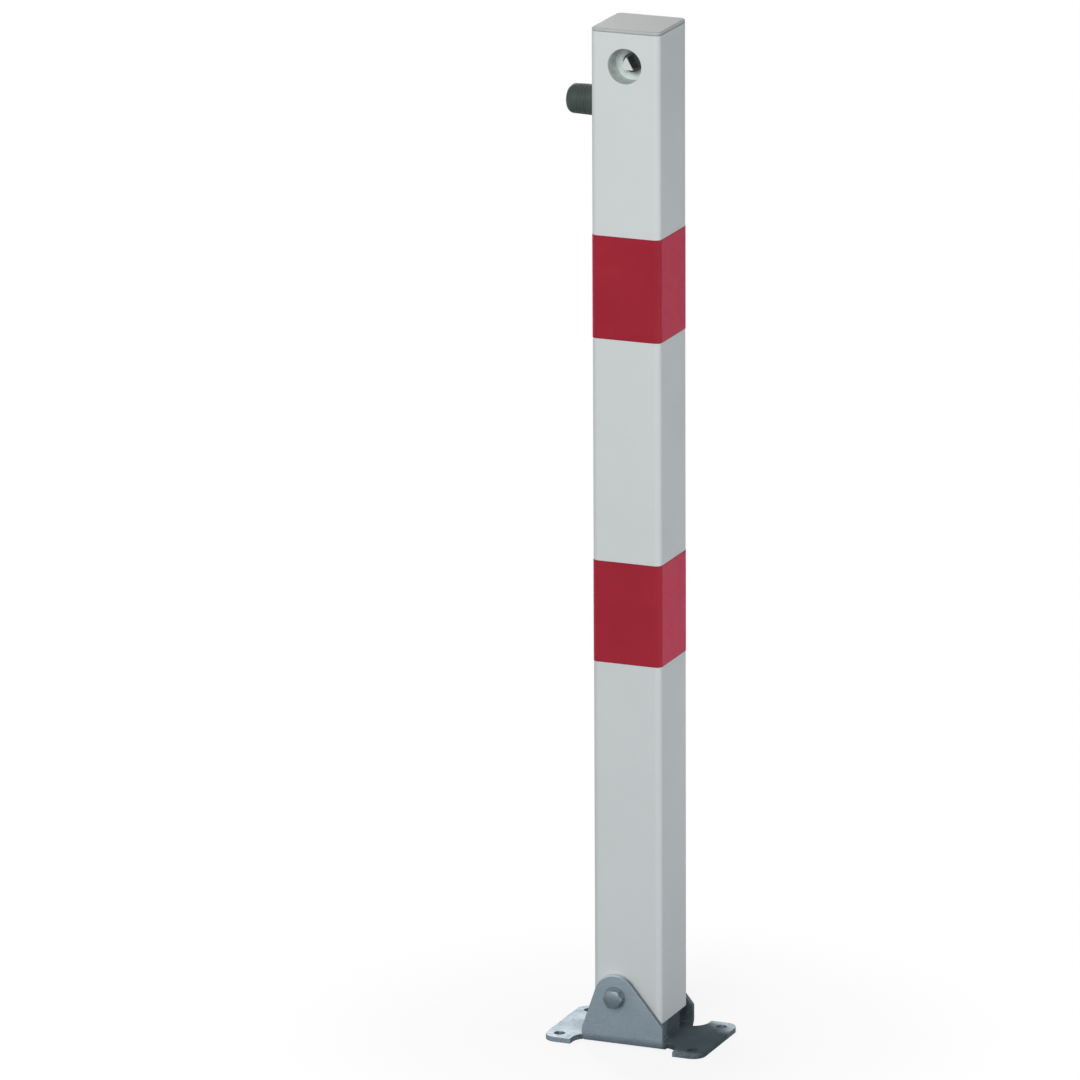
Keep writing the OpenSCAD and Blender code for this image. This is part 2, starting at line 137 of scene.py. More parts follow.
def surfaceNormal(tree):
    return addNode(tree, "NewGeometry").outputs["Normal"]


def splitVector(tree, vector):
    return addNode(tree, "SeparateXYZ", {"Vector": vector}).outputs


def rgb(r, g, b):
    return (r, g, b, 1.0)


# Effects that several materials share, each a group with its own sockets.
# A detail is a noise's detail and roughness, and a cut is where its mask starts and is full.


def startGroup(name, inputs, outputs):
    group = bpy.data.node_groups.new(name, "ShaderNodeTree")
    for label, kind, value in inputs:
        socket = group.interface.new_socket(label, in_out="INPUT", socket_type=kind)
        if value is not None:
            socket.default_value = value
    for label, kind in outputs:
        group.interface.new_socket(label, in_out="OUTPUT", socket_type=kind)
    given = group.nodes.new("NodeGroupInput").outputs
    result = group.nodes.new("NodeGroupOutput").inputs
    return group, given, result


def useGroup(tree, group, inputs):
    made = tree.nodes.new("ShaderNodeGroup")
    made.node_tree = group
    return setInputs(tree, made, inputs).outputs


edgeEffect = {
    "samples": 6,
    "patchDetail": (4.0, 0.6),
    "patchCut": (0.42, 0.62),
}


def makeEdgeGroup(effect):
    # Softens sharp edges in the shading, and gives a broken mask along them
    group, given, result = startGroup(
        "worn edges",
        [
            ("Vector", "NodeSocketVector", None),
            ("Radius", "NodeSocketFloat", 0.0005),
            ("Gain", "NodeSocketFloat", 4.0),
            ("Patch Scale", "NodeSocketFloat", 90.0),
        ],
        [("Line", "NodeSocketFloat"), ("Wear", "NodeSocketFloat"), ("Normal", "NodeSocketVector")],
    )
    bevel = addNode(group, "Bevel", {"Radius": given["Radius"]}, samples=effect["samples"])
    soft = bevel.outputs["Normal"]
    normals = {0: soft, 1: surfaceNormal(group)}
    same = addNode(group, "VectorMath", normals, operation="DOT_PRODUCT").outputs["Value"]
    bend = calc(group, "SUBTRACT", 1.0, same)
    line = calc(group, "MULTIPLY", bend, given["Gain"], clamp=True)
    patches = noise(group, given["Vector"], given["Patch Scale"], *effect["patchDetail"])
    wear = calc(group, "MULTIPLY", line, remap(group, patches, *effect["patchCut"]))
    group.links.new(line, result["Line"])
    group.links.new(wear, result["Wear"])
    group.links.new(soft, result["Normal"])
    return group


grainEffect = {
    "cloudDetail": (4.0, 0.55),
    "cloudCut": (0.3, 0.7),
    "grainDetail": (2.0, 0.5),
}


def makeGrainGroup(effect):
    # Clouds in the tone, and a fine grain for roughness and bump
    group, given, result = startGroup(
        "cloud and grain",
        [
            ("Vector", "NodeSocketVector", None),
            ("Cloud Scale", "NodeSocketFloat", 15.0),
            ("Grain Scale", "NodeSocketFloat", 600.0),
        ],
        [("Cloud", "NodeSocketFloat"), ("Grain", "NodeSocketFloat")],
    )
    cloud = noise(group, given["Vector"], given["Cloud Scale"], *effect["cloudDetail"])
    grain = noise(group, given["Vector"], given["Grain Scale"], *effect["grainDetail"])
    group.links.new(remap(group, cloud, *effect["cloudCut"]), result["Cloud"])
    group.links.new(grain, result["Grain"])
    return group


dustEffect = {
    "upwards": (0.6, 0.95),  # the upward share of a face's direction, where dust starts and is full
    "speckleScale": 260.0,
    "speckleDetail": (5.0, 0.65),
    "speckleCut": (0.35, 0.75),
    "dropScale": 420.0,
    "dropDetail": (3.0, 0.7),
    "dropCut": (0.5, 0.68),
}


def makeDustGroup(effect):
    # Fine dust on what faces up, and a little road dirt close to the ground
    group, given, result = startGroup(
        "dust and splash",
        [
            ("Vector", "NodeSocketVector", None),
            ("Dust", "NodeSocketFloat", 0.15),
            ("Splash", "NodeSocketFloat", 0.2),
            ("Splash Height", "NodeSocketFloat", 0.12),
        ],
        [("Mask", "NodeSocketFloat")],
    )
    place = given["Vector"]
    up = remap(group, splitVector(group, surfaceNormal(group))["Z"], *effect["upwards"])
    speckle = noise(group, place, effect["speckleScale"], *effect["speckleDetail"])
    speckle = remap(group, speckle, *effect["speckleCut"])
    dust = calc(group, "MULTIPLY", calc(group, "MULTIPLY", up, speckle), given["Dust"])
    height = calc(group, "DIVIDE", splitVector(group, place)["Z"], given["Splash Height"])
    fade = calc(group, "SUBTRACT", 1.0, height, clamp=True)
    drops = noise(group, place, effect["dropScale"], *effect["dropDetail"])
    drops = remap(group, drops, *effect["dropCut"])
    splash = calc(group, "MULTIPLY", calc(group, "MULTIPLY", fade, drops), given["Splash"])
    group.links.new(calc(group, "MAXIMUM", dust, splash), result["Mask"])
    return group


scratchEffect = {
    "detail": (3.0, 0.6),
    "sparse": 0.8,  # where the mask starts at no density
    "dense": 0.25,  # how much lower it starts at full density
    "softness": 0.06,
}


def makeScratchGroup(effect):
    # Long thin marks along the axis in which the Vector is stretched
    group, given, result = startGroup(
        "fine scratches",
        [
            ("Vector", "NodeSocketVector", None),
            ("Density", "NodeSocketFloat", 0.5),
        ],
        [("Mask", "NodeSocketFloat"), ("Lines", "NodeSocketFloat")],
    )
    lines = noise(group, given["Vector"], 1.0, *effect["detail"])
    drop = calc(group, "MULTIPLY", given["Density"], effect["dense"])
    low = calc(group, "SUBTRACT", effect["sparse"], drop)
    high = calc(group, "ADD", low, effect["softness"])
    group.links.new(remap(group, lines, low, high), result["Mask"])
    group.links.new(lines, result["Lines"])
    return group


greaseAndShadeEffect = {
    "lumpScale": 500.0,
    "lumpDetail": 3.0,
}


def makeGreaseAndShadeGroup(effect):
    # A dark mask round a point, for old grease and for painted shade, thick inside the radius and
    # broken up at its rim
    group, given, result = startGroup(
        "grease and shade round a point",
        [
            ("Vector", "NodeSocketVector", None),
            ("Centre", "NodeSocketVector", None),
            ("Radius", "NodeSocketFloat", 0.012),
            ("Rim", "NodeSocketFloat", 0.002),
        ],
        [("Mask", "NodeSocketFloat")],
    )
    points = {0: given["Vector"], 1: given["Centre"]}
    away = addNode(group, "VectorMath", points, operation="DISTANCE").outputs["Value"]
    lumps = noise(group, given["Vector"], effect["lumpScale"], effect["lumpDetail"])
    lumps = calc(group, "MULTIPLY", calc(group, "SUBTRACT", lumps, 0.5), given["Rim"])
    depth = calc(group, "SUBTRACT", given["Radius"], calc(group, "ADD", away, lumps))
    inside = calc(group, "DIVIDE", depth, given["Rim"], clamp=True)
    group.links.new(inside, result["Mask"])
    return group


edgeGroup = makeEdgeGroup(edgeEffect)
grainGroup = makeGrainGroup(grainEffect)
dustGroup = makeDustGroup(dustEffect)
scratchGroup = makeScratchGroup(scratchEffect)
greaseAndShadeGroup = makeGreaseAndShadeGroup(greaseAndShadeEffect)
print("shared effects built")

# Materials. In each look, "worn" is the edges' radius, gain and patch scale, and "settled" is the
# share of dust, the share of splash and the height that the splash reaches.


def startMaterial(name):
    material = bpy.data.materials.new(name)
    material.use_nodes = True
    tree = material.node_tree
    place = addNode(tree, "TexCoord").outputs["Object"]
    return material, tree, tree.nodes["Principled BSDF"], place


def addGrain(tree, place, look):
    inputs = {"Cloud Scale": look["cloudScale"], "Grain Scale": look["grainScale"]}
    return useGroup(tree, grainGroup, {"Vector": place, **inputs})


def addEdges(tree, place, look):
    inputs = dict(zip(("Radius", "Gain", "Patch Scale"), look["worn"]))
    return useGroup(tree, edgeGroup, {"Vector": place, **inputs})


def addDirt(tree, place, look):
    inputs = dict(zip(("Dust", "Splash", "Splash Height"), look["settled"]))
    return useGroup(tree, dustGroup, {"Vector": place, **inputs})["Mask"]


def addScratches(tree, vector, density):
    return useGroup(tree, scratchGroup, {"Vector": vector, "Density": density})


def addGreaseAndShade(tree, place, spot):
    inputs = dict(zip(("Centre", "Radius", "Rim"), spot))
    return useGroup(tree, greaseAndShadeGroup, {"Vector": place, **inputs})["Mask"]


def addBump(tree, shader, height, depth, normal):
    inputs = {"Height": height, "Distance": depth, "Normal": normal}
    tree.links.new(addNode(tree, "Bump", inputs).outputs["Normal"], shader.inputs["Normal"])


def roughen(tree, gloss, mask, share):
    return calc(tree, "ADD", gloss, calc(tree, "MULTIPLY", mask, share), clamp=True)


def feed(tree, shader, **sockets):
    # baseColor feeds "Base Color", and so on
    names = {"baseColor": "Base Color", "roughness": "Roughness", "metallic": "Metallic"}
    for key, value in sockets.items():
        tree.links.new(value, shader.inputs[names[key]])


coatLook = {
    "color": rgb(0.735, 0.765, 0.77),
    "shade": rgb(0.71, 0.74, 0.745),
    "speck": rgb(0.42, 0.43, 0.42),
    "speckScale": 1100.0,
    "speckCut": (0.76, 0.8),
    "speckShare": 0.5,
    "chip": rgb(0.33, 0.35, 0.36),
    "chipScale": 700.0,
    "chipCut": (0.56, 0.62),
    "dust": rgb(0.36, 0.34, 0.31),
    "dulling": 0.5,  # what dust adds to the roughness
    "gloss": (0.44, 0.52),
    "cloudScale": 9.0,
    "grainScale": 430.0,  # orange peel about 2 mm across
    "grainDepth": 0.00005,
    "worn": (0.0008, 5.0, 160.0),
    "settled": (0.08, 0.1, 0.07),
}


def makeWhiteCoat(look):
    material, tree, shader, place = startMaterial("white powder coat")
    grain = addGrain(tree, place, look)
    edge = addEdges(tree, place, look)
    dirt = addDirt(tree, place, look)
    tone = blend(tree, grain["Cloud"], look["color"], look["shade"])
    specks = noise(tree, place, look["speckScale"], 1.0)
    specks = remap(tree, specks, *look["speckCut"], 0.0, look["speckShare"])
    tone = blend(tree, specks, tone, look["speck"])
    tone = blend(tree, dirt, tone, look["dust"])
    chips = remap(tree, noise(tree, place, look["chipScale"], 3.0), *look["chipCut"])
    tone = cover(tree, tone, look["chip"], edge["Wear"], chips)
    gloss = remap(tree, grain["Cloud"], 0.0, 1.0, *look["gloss"])
    gloss = roughen(tree, gloss, dirt, look["dulling"])
    feed(tree, shader, baseColor=tone, roughness=gloss)
    addBump(tree, shader, grain["Grain"], look["grainDepth"], edge["Normal"])
    return material


capLook = {
    "color": rgb(0.53, 0.56, 0.555),
    "shade": rgb(0.505, 0.535, 0.53),
    "dust": rgb(0.40, 0.39, 0.36),
    "gloss": (0.42, 0.54),
    "cloudScale": 30.0,
    "grainScale": 1400.0,  # eroded mould grain
    "grainDepth": 0.00004,
    "worn": (0.0006, 4.0, 120.0),
    "settled": (0.2, 0.0, 0.1),
}


def makeCapPlastic(look):
    material, tree, shader, place = startMaterial("white moulded plastic")
    grain = addGrain(tree, place, look)
    edge = addEdges(tree, place, look)
    tone = blend(tree, grain["Cloud"], look["color"], look["shade"])
    tone = blend(tree, addDirt(tree, place, look), tone, look["dust"])
    gloss = remap(tree, grain["Grain"], 0.3, 0.7, *look["gloss"])
    feed(tree, shader, baseColor=tone, roughness=gloss)
    addBump(tree, shader, grain["Grain"], look["grainDepth"], edge["Normal"])
    return material


filmLook = {
    "color": rgb(0.42, 0.025, 0.044),
    "deep": rgb(0.38, 0.021, 0.038),
    "paintedSheen": rgb(0.67, 0.028, 0.086),  # painted sheen: the beaded film is made lighter and pinker at a slant
    "paintedSheenFade": (0.2, 0.7),
    "edge": rgb(0.15, 0.012, 0.019),
    "edgeShare": 0.85,
    "beadGlint": rgb(0.46, 0.038, 0.058),
    "beadScale": 1500.0,  # glass beads in the film, two thirds of a millimetre
    "beadSize": (0.25, 0.05),  # from a bead's middle, where its painted glint starts and is full
    "beadShare": 0.45,
    "beadDepth": 0.00003,
    "dust": rgb(0.30, 0.20, 0.18),
    "gloss": (0.36, 0.46),
    "specular": 0.1,
    "cloudScale": 22.0,
    "grainScale": 300.0,
    "worn": (0.0012, 3.5, 60.0),
    "settled": (0.2, 0.0, 0.1),
}


def makeRedFilm(look):
    material, tree, shader, place = startMaterial("red retroreflective film")
    grain = addGrain(tree, place, look)
    edge = addEdges(tree, place, look)
    beads = addNode(tree, "TexVoronoi", {"Vector": place, "Scale": look["beadScale"]})
    beads = beads.outputs["Distance"]
    tone = blend(tree, grain["Cloud"], look["color"], look["deep"])
    # painted glint at the middle of each glass bead
    paintedGlint = remap(tree, beads, *look["beadSize"], 0.0, look["beadShare"])
    tone = blend(tree, paintedGlint, tone, look["beadGlint"])
    # painted sheen, lighter and pinker where the surface turns away from view
    paintedSheen = addNode(tree, "LayerWeight", {"Blend": 0.5}).outputs["Facing"]
    tone = blend(tree, remap(tree, paintedSheen, *look["paintedSheenFade"]), tone, look["paintedSheen"])
    tone = cover(tree, tone, look["edge"], edge["Line"], look["edgeShare"])
    tone = blend(tree, addDirt(tree, place, look), tone, look["dust"])
    gloss = remap(tree, grain["Grain"], 0.3, 0.7, *look["gloss"])
    feed(tree, shader, baseColor=tone, roughness=gloss)
    shader.inputs["Specular IOR Level"].default_value = look["specular"]
    addBump(tree, shader, beads, look["beadDepth"], edge["Normal"])
    return material


zincLook = {
    "color": rgb(0.375, 0.45, 0.51),
    "cloud": rgb(0.315, 0.385, 0.435),
    "bright": rgb(0.56, 0.60, 0.63),
    "wearShare": 0.75,
    "dull": rgb(0.35, 0.375, 0.38),
    "stainScale": 130.0,
    "stainDetail": (6.0, 0.7),
    "stainCut": (0.5, 0.72),
    "stainShare": 0.5,
    "dirt": rgb(0.10, 0.10, 0.095),
    "paintedHighlight": rgb(0.86, 0.90, 0.92),  # painted highlight on the sheared edges at the top of the ears
    "paintedHighlightShare": 0.85,
    "paintedHighlightHeight": (0.05, 0.06),
    "paintedHighlightSide": (0.0, -0.012),  # it fades in towards the left
    "oilAndShade": rgb(0.008, 0.030, 0.034),  # old oil, and painted shade where the post shades the right foot, the catch and the pivot
    "oilAndShadeShare": 0.86,
    "paintedSideShade": 0.6,  # its share of painted shade on the zinc faces that turn to the right, the lock's side
    # where the old oil and the painted shade lie: centre, radius and soft rim. At the catch and the
    # right foot it paints the post's shadow, at the pivot the shade round the bolt head
    "catch": ((0.045, 0.013, 0.012), 0.042, 0.016),
    "foot": ((0.072, -0.014, -0.010), 0.049, 0.014),
    "pivot": ((-0.010, -0.0415, 0.049), 0.0112, 0.002),
    "gloss": (0.42, 0.54),
    "rollGloss": 0.12,  # what the rolling marks add to the roughness
    "wearGloss": 0.14,  # what wear takes off it
    "dulling": 0.4,
    "metal": 0.9,
    "rollScale": (25.0, 900.0, 900.0),  # rolling marks run left to right
    "rollDensity": 0.5,
    "rollDepth": 0.00002,
    "scuffScale": (30.0, 1300.0, 700.0),
    "scuffTurn": (0.3, 0.7, 0.5),
    "scuffDensity": 0.75,
    "scuffShare": 0.25,
    "grainShare": 0.8,  # of the grain in the bump
    "cloudScale": 42.0,
    "grainScale": 900.0,
    "worn": (0.0009, 3.0, 110.0),
    "settled": (0.2, 0.35, 0.05),
}


def addPaintedHighlight(tree, look, place, facing):
    # painted highlight on upward faces at the ears' tops, fading in towards the left
    where = splitVector(tree, place)
    height = remap(tree, where["Z"], *look["paintedHighlightHeight"])
    side = remap(tree, where["X"], *look["paintedHighlightSide"])
    up = remap(tree, facing["Z"], 0.3, 0.8)
    return calc(tree, "MULTIPLY", up, calc(tree, "MULTIPLY", height, side))


def addOilAndShade(tree, look, place, facing):
    # painted shade on every zinc face that turns to the right
    oilAndShade = remap(tree, facing["X"], 0.3, 0.7, 0.0, look["paintedSideShade"])
    for spot in ("catch", "foot", "pivot"):
        # old oil and painted shade round the catch, the right foot and the pivot
        oilAndShadeSpot = calc(tree, "MULTIPLY", addGreaseAndShade(tree, place, look[spot]), look["oilAndShadeShare"])
        if spot == "catch":
            # not on the rear ear's outer face
            oilAndShadeSpot = calc(tree, "MULTIPLY", oilAndShadeSpot, remap(tree, facing["Y"], 0.7, 0.3))
        oilAndShade = calc(tree, "MAXIMUM", oilAndShade, oilAndShadeSpot)
    return oilAndShade


def makeZincSheet(look):
    material, tree, shader, place = startMaterial("zinc plated sheet")
    grain = addGrain(tree, place, look)
    edge = addEdges(tree, place, look)
    dirt = addDirt(tree, place, look)
    rolled = addScratches(tree, stretch(tree, place, look["rollScale"]), look["rollDensity"])
    marks = stretch(tree, place, look["scuffScale"], turn=look["scuffTurn"])
    scuffs = addScratches(tree, marks, look["scuffDensity"])
    facing = splitVector(tree, surfaceNormal(tree))
    tone = blend(tree, grain["Cloud"], look["color"], look["cloud"])
    stain = noise(tree, place, look["stainScale"], *look["stainDetail"])
    stain = remap(tree, stain, *look["stainCut"], 0.0, look["stainShare"])
    tone = blend(tree, stain, tone, look["dull"])
    tone = cover(tree, tone, look["bright"], edge["Wear"], look["wearShare"])
    tone = cover(tree, tone, look["bright"], scuffs["Mask"], look["scuffShare"])
    # painted highlight along the top edges of the ears
    tone = cover(tree, tone, look["paintedHighlight"], addPaintedHighlight(tree, look, place, facing), look["paintedHighlightShare"])
    tone = blend(tree, dirt, tone, look["dirt"])
    oilAndShade = addOilAndShade(tree, look, place, facing)
    # old oil and painted shade darken the zinc
    tone = blend(tree, oilAndShade, tone, look["oilAndShade"])
    covered = calc(tree, "MAXIMUM", dirt, oilAndShade)
    gloss = remap(tree, grain["Cloud"], 0.0, 1.0, *look["gloss"])
    gloss = calc(tree, "ADD", gloss, calc(tree, "MULTIPLY", rolled["Lines"], look["rollGloss"]))
    gloss = calc(tree, "SUBTRACT", gloss, calc(tree, "MULTIPLY", edge["Wear"], look["wearGloss"]))
    gloss = roughen(tree, gloss, covered, look["dulling"])
    metal = calc(tree, "SUBTRACT", look["metal"], covered, clamp=True)
    feed(tree, shader, baseColor=tone, roughness=gloss, metallic=metal)
    fine = calc(tree, "MULTIPLY", grain["Grain"], look["grainShare"])
    height = calc(tree, "ADD", rolled["Lines"], fine)
    addBump(tree, shader, height, look["rollDepth"], edge["Normal"])
    return material


# colour of old grease, and of the painted shade in the lock's recess
greaseAndShadeColor = rgb(0.042, 0.048, 0.045)

# What all machined metal shares
machinedLook = {
    "wearShare": 0.8,
    "dulling": 0.5,
    "toolDensity": 0.6,
    "grainShare": 0.4,
    "cloudScale": 120.0,
    "grainScale": 1500.0,
    "worn": (0.0004, 3.5, 260.0),
    "settled": (0.12, 0.2, 0.08),
}

# Grease is a centre, a radius and a soft rim; in the sleeve and the key it also paints the shade in
# the lock's recess. Lines are the tool marks' scale along X, Y and Z.
metalLooks = {
    "bolt": {
        "name": "zinc plated fastener",
        "color": rgb(0.255, 0.31, 0.35),
        "cloud": rgb(0.20, 0.245, 0.28),
        "bright": rgb(0.42, 0.46, 0.49),
        "dirt": rgb(0.10, 0.095, 0.09),
        "greaseAndShade": ((-0.010, 0.0, 0.049), 0.0, 0.001),  # none that shows
        "metal": 0.9,
        "gloss": (0.42, 0.54),
        "lines": (700.0, 60.0, 700.0),
        "depth": 0.000012,
    },
    "sleeve": {
        "name": "turned and zinc plated steel",
        "color": rgb(0.77, 0.84, 0.81),
        "cloud": rgb(0.64, 0.71, 0.68),
        "bright": rgb(0.80, 0.85, 0.83),
        "dirt": rgb(0.12, 0.12, 0.11),
        # old grease and painted shade: a dark ring on the recess floor round the key
        "greaseAndShade": ((0.0035, -0.0145, 0.966), 0.0145, 0.007),
        "metal": 0.2,
        "gloss": (0.40, 0.52),
        "lines": (40.0, 2200.0, 40.0),
        "depth": 0.00002,
    },
    "bare": {
        "name": "oiled drawn steel",
        "color": rgb(0.34, 0.33, 0.32),
        "cloud": rgb(0.25, 0.235, 0.22),
        "bright": rgb(0.55, 0.54, 0.53),
        "dirt": rgb(0.09, 0.07, 0.055),
        "greaseAndShade": ((0.0235, 0.0, 0.025), 0.03, 0.01),
        "metal": 1.0,
        "gloss": (0.26, 0.40),
        "lines": (1600.0, 1600.0, 14.0),
        "depth": 0.000015,
    },
    "key": {
        "name": "milled bright steel",
        "color": rgb(0.66, 0.69, 0.68),
        "cloud": rgb(0.56, 0.59, 0.58),
        "bright": rgb(0.80, 0.82, 0.81),
        "dirt": rgb(0.16, 0.15, 0.14),
        # painted shade on the key's sides, with old grease; its front stays bright
        "greaseAndShade": ((0.0, -0.0145, 0.965), 0.0163, 0.0012),
        "metal": 0.8,
        "gloss": (0.24, 0.34),
        "lines": (1400.0, 40.0, 1400.0),
        "depth": 0.00001,
    },
    "spring": {
        "name": "blackened spring steel",
        "color": rgb(0.055, 0.055, 0.06),
        "cloud": rgb(0.04, 0.04, 0.042),
        "bright": rgb(0.22, 0.22, 0.22),
        "dirt": rgb(0.05, 0.045, 0.04),
        "greaseAndShade": ((0.0, -0.0145, 0.965), 0.014, 0.003),
        "metal": 1.0,
        "gloss": (0.34, 0.46),
        "lines": (500.0, 500.0, 500.0),
        "depth": 0.00001,
    },
}


def makeMachinedMetal(kind):
    look = {**machinedLook, **metalLooks[kind]}
    material, tree, shader, place = startMaterial(look["name"])
    grain = addGrain(tree, place, look)
    edge = addEdges(tree, place, look)
    dirt = addDirt(tree, place, look)
    tooled = addScratches(tree, stretch(tree, place, look["lines"]), look["toolDensity"])["Lines"]
    greaseAndShade = addGreaseAndShade(tree, place, look["greaseAndShade"])
    tone = blend(tree, grain["Cloud"], look["color"], look["cloud"])
    tone = cover(tree, tone, look["bright"], edge["Wear"], look["wearShare"])
    tone = blend(tree, dirt, tone, look["dirt"])
    # grease, and in the lock's recess painted shade
    tone = blend(tree, greaseAndShade, tone, greaseAndShadeColor)
    gloss = remap(tree, tooled, 0.3, 0.7, *look["gloss"])
    gloss = roughen(tree, gloss, dirt, look["dulling"])
    covered = calc(tree, "MAXIMUM", dirt, greaseAndShade)
    metal = calc(tree, "SUBTRACT", look["metal"], covered, clamp=True)
    feed(tree, shader, baseColor=tone, roughness=gloss, metallic=metal)
    fine = calc(tree, "MULTIPLY", grain["Grain"], look["grainShare"])
    addBump(tree, shader, calc(tree, "ADD", tooled, fine), look["depth"], edge["Normal"])
    return material


rubberLook = {
    "color": rgb(0.039, 0.057, 0.051),
    "bloom": rgb(0.066, 0.088, 0.080),
    "cloudShare": 0.6,
    "wearShare": 0.5,
    "dust": rgb(0.12, 0.12, 0.11),
    "gloss": (0.46, 0.62),
    "specular": 0.3,
    "cloudScale": 110.0,
    "grainScale": 1300.0,
    "grainDepth": 0.00006,
    "worn": (0.0006, 3.0, 200.0),
    "settled": (0.25, 0.0, 0.1),
}


def makeRubber(look):
    material, tree, shader, place = startMaterial("moulded dark rubber")
    grain = addGrain(tree, place, look)
    edge = addEdges(tree, place, look)
    tone = cover(tree, look["color"], look["bloom"], grain["Cloud"], look["cloudShare"])
    tone = cover(tree, tone, look["bloom"], edge["Wear"], look["wearShare"])
    tone = blend(tree, addDirt(tree, place, look), tone, look["dust"])
    gloss = remap(tree, grain["Grain"], 0.3, 0.7, *look["gloss"])
    feed(tree, shader, baseColor=tone, roughness=gloss)
    shader.inputs["Specular IOR Level"].default_value = look["specular"]
    addBump(tree, shader, grain["Grain"], look["grainDepth"], edge["Normal"])
    return material


nylonLook = {
    "color": rgb(0.70, 0.70, 0.64),
    "shade": rgb(0.60, 0.59, 0.52),
    "gloss": (0.38, 0.5),
    "cloudScale": 300.0,
    "grainScale": 1800.0,
    "grainDepth": 0.00002,
    "worn": (0.0003, 3.0, 300.0),
}


def makeNylon(look):
    material, tree, shader, place = startMaterial("natural nylon")
    grain = addGrain(tree, place, look)
    edge = addEdges(tree, place, look)
    tone = blend(tree, grain["Cloud"], look["color"], look["shade"])
    gloss = remap(tree, grain["Grain"], 0.3, 0.7, *look["gloss"])
    feed(tree, shader, baseColor=tone, roughness=gloss)
    addBump(tree, shader, grain["Grain"], look["grainDepth"], edge["Normal"])
    return material


finishes = {
    "white_coat": makeWhiteCoat(coatLook),
    "cap_plastic": makeCapPlastic(capLook),
    "red_film": makeRedFilm(filmLook),
    "zinc_sheet": makeZincSheet(zincLook),
    "bolt_steel": makeMachinedMetal("bolt"),
    "zinc_sleeve": makeMachinedMetal("sleeve"),
    "bare_steel": makeMachinedMetal("bare"),
    "key_steel": makeMachinedMetal("key"),
    "spring_steel": makeMachinedMetal("spring"),
    "buffer_rubber": makeRubber(rubberLook),
    "nylon": makeNylon(nylonLook),
}
print("materials built:", len(finishes))

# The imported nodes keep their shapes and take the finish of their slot


def dressNodes():
    for part in frame["record"]["subparts"]:
        node = nodes[part["node"]]
        finish = finishes[part["material_slot"]]
        if not node.material_slots:
            node.data.materials.append(finish)
        for slot in node.material_slots:
            slot.material = finish


dressNodes()
print("nodes dressed")

# Pieces of the scene's own, with their measures in millimetres

mergeGap = 0.001  # points closer than this become one


# The operators' order of points and faces differs from run to run, so they are sorted by place


def byPlace(points):
    return sorted(points, key=lambda v: v.co[:])


def mergePoints(bm, points, gap):
    bmesh.ops.remove_doubles(bm, verts=byPlace(points), dist=gap * mm)


def sortParts(parts, key):
    place = {part: i for i, part in enumerate(sorted(parts, key=key))}
    parts.sort(key=place.get)
    parts.index_update()


def finishPiece(bm, name, slot, body, smoothAngle=35):
    mergePoints(bm, bm.verts, mergeGap)
    bmesh.ops.recalc_face_normals(bm, faces=bm.faces)
    sortParts(bm.verts, lambda v: v.co[:])
    for parts in (bm.edges, bm.faces):
        sortParts(parts, lambda part: sorted(v.index for v in part.verts))
    mesh = bpy.data.meshes.new(name)
    bm.to_mesh(mesh)
    bm.free()
    piece = bpy.data.objects.new(name, mesh)
    scene.collection.objects.link(piece)
    mesh.shade_smooth()
    mesh.set_sharp_from_angle(angle=math.radians(smoothAngle))
    mesh.materials.append(finishes[slot])
    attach(piece, body)
    return piece


boltSetup = {
    "radius": 5.0,
    "threadLength": 5.0,  # what shows past the lock nut, and a little under it
    "pitch": 1.5,
    "depth": 0.92,
    "flanks": (0.06, 0.44, 0.56, 0.94),  # where each of the two starts and ends, in pitches
    "chamfer": 1.1,
    "steps": 40,  # to a turn
    "shankGap": 0.005,
    "threadGap": 0.002,
}


def cutOff(bm, geom, place, way):
    # Takes off what lies past the place along Y and closes the cut
    cut = bmesh.ops.bisect_plane(
        bm, geom=geom, plane_co=(0, place, 0), plane_no=(0, way, 0), clear_outer=True
    )
    rim = [e for e in cut["geom_cut"] if isinstance(e, bmesh.types.BMEdge)]
    bmesh.ops.holes_fill(bm, edges=rim, sides=0)


def vertsOf(faces):
    return list(dict.fromkeys(v for f in faces for v in f.verts))


def edgesOf(faces):
    return list(dict.fromkeys(e for f in faces for e in f.edges))


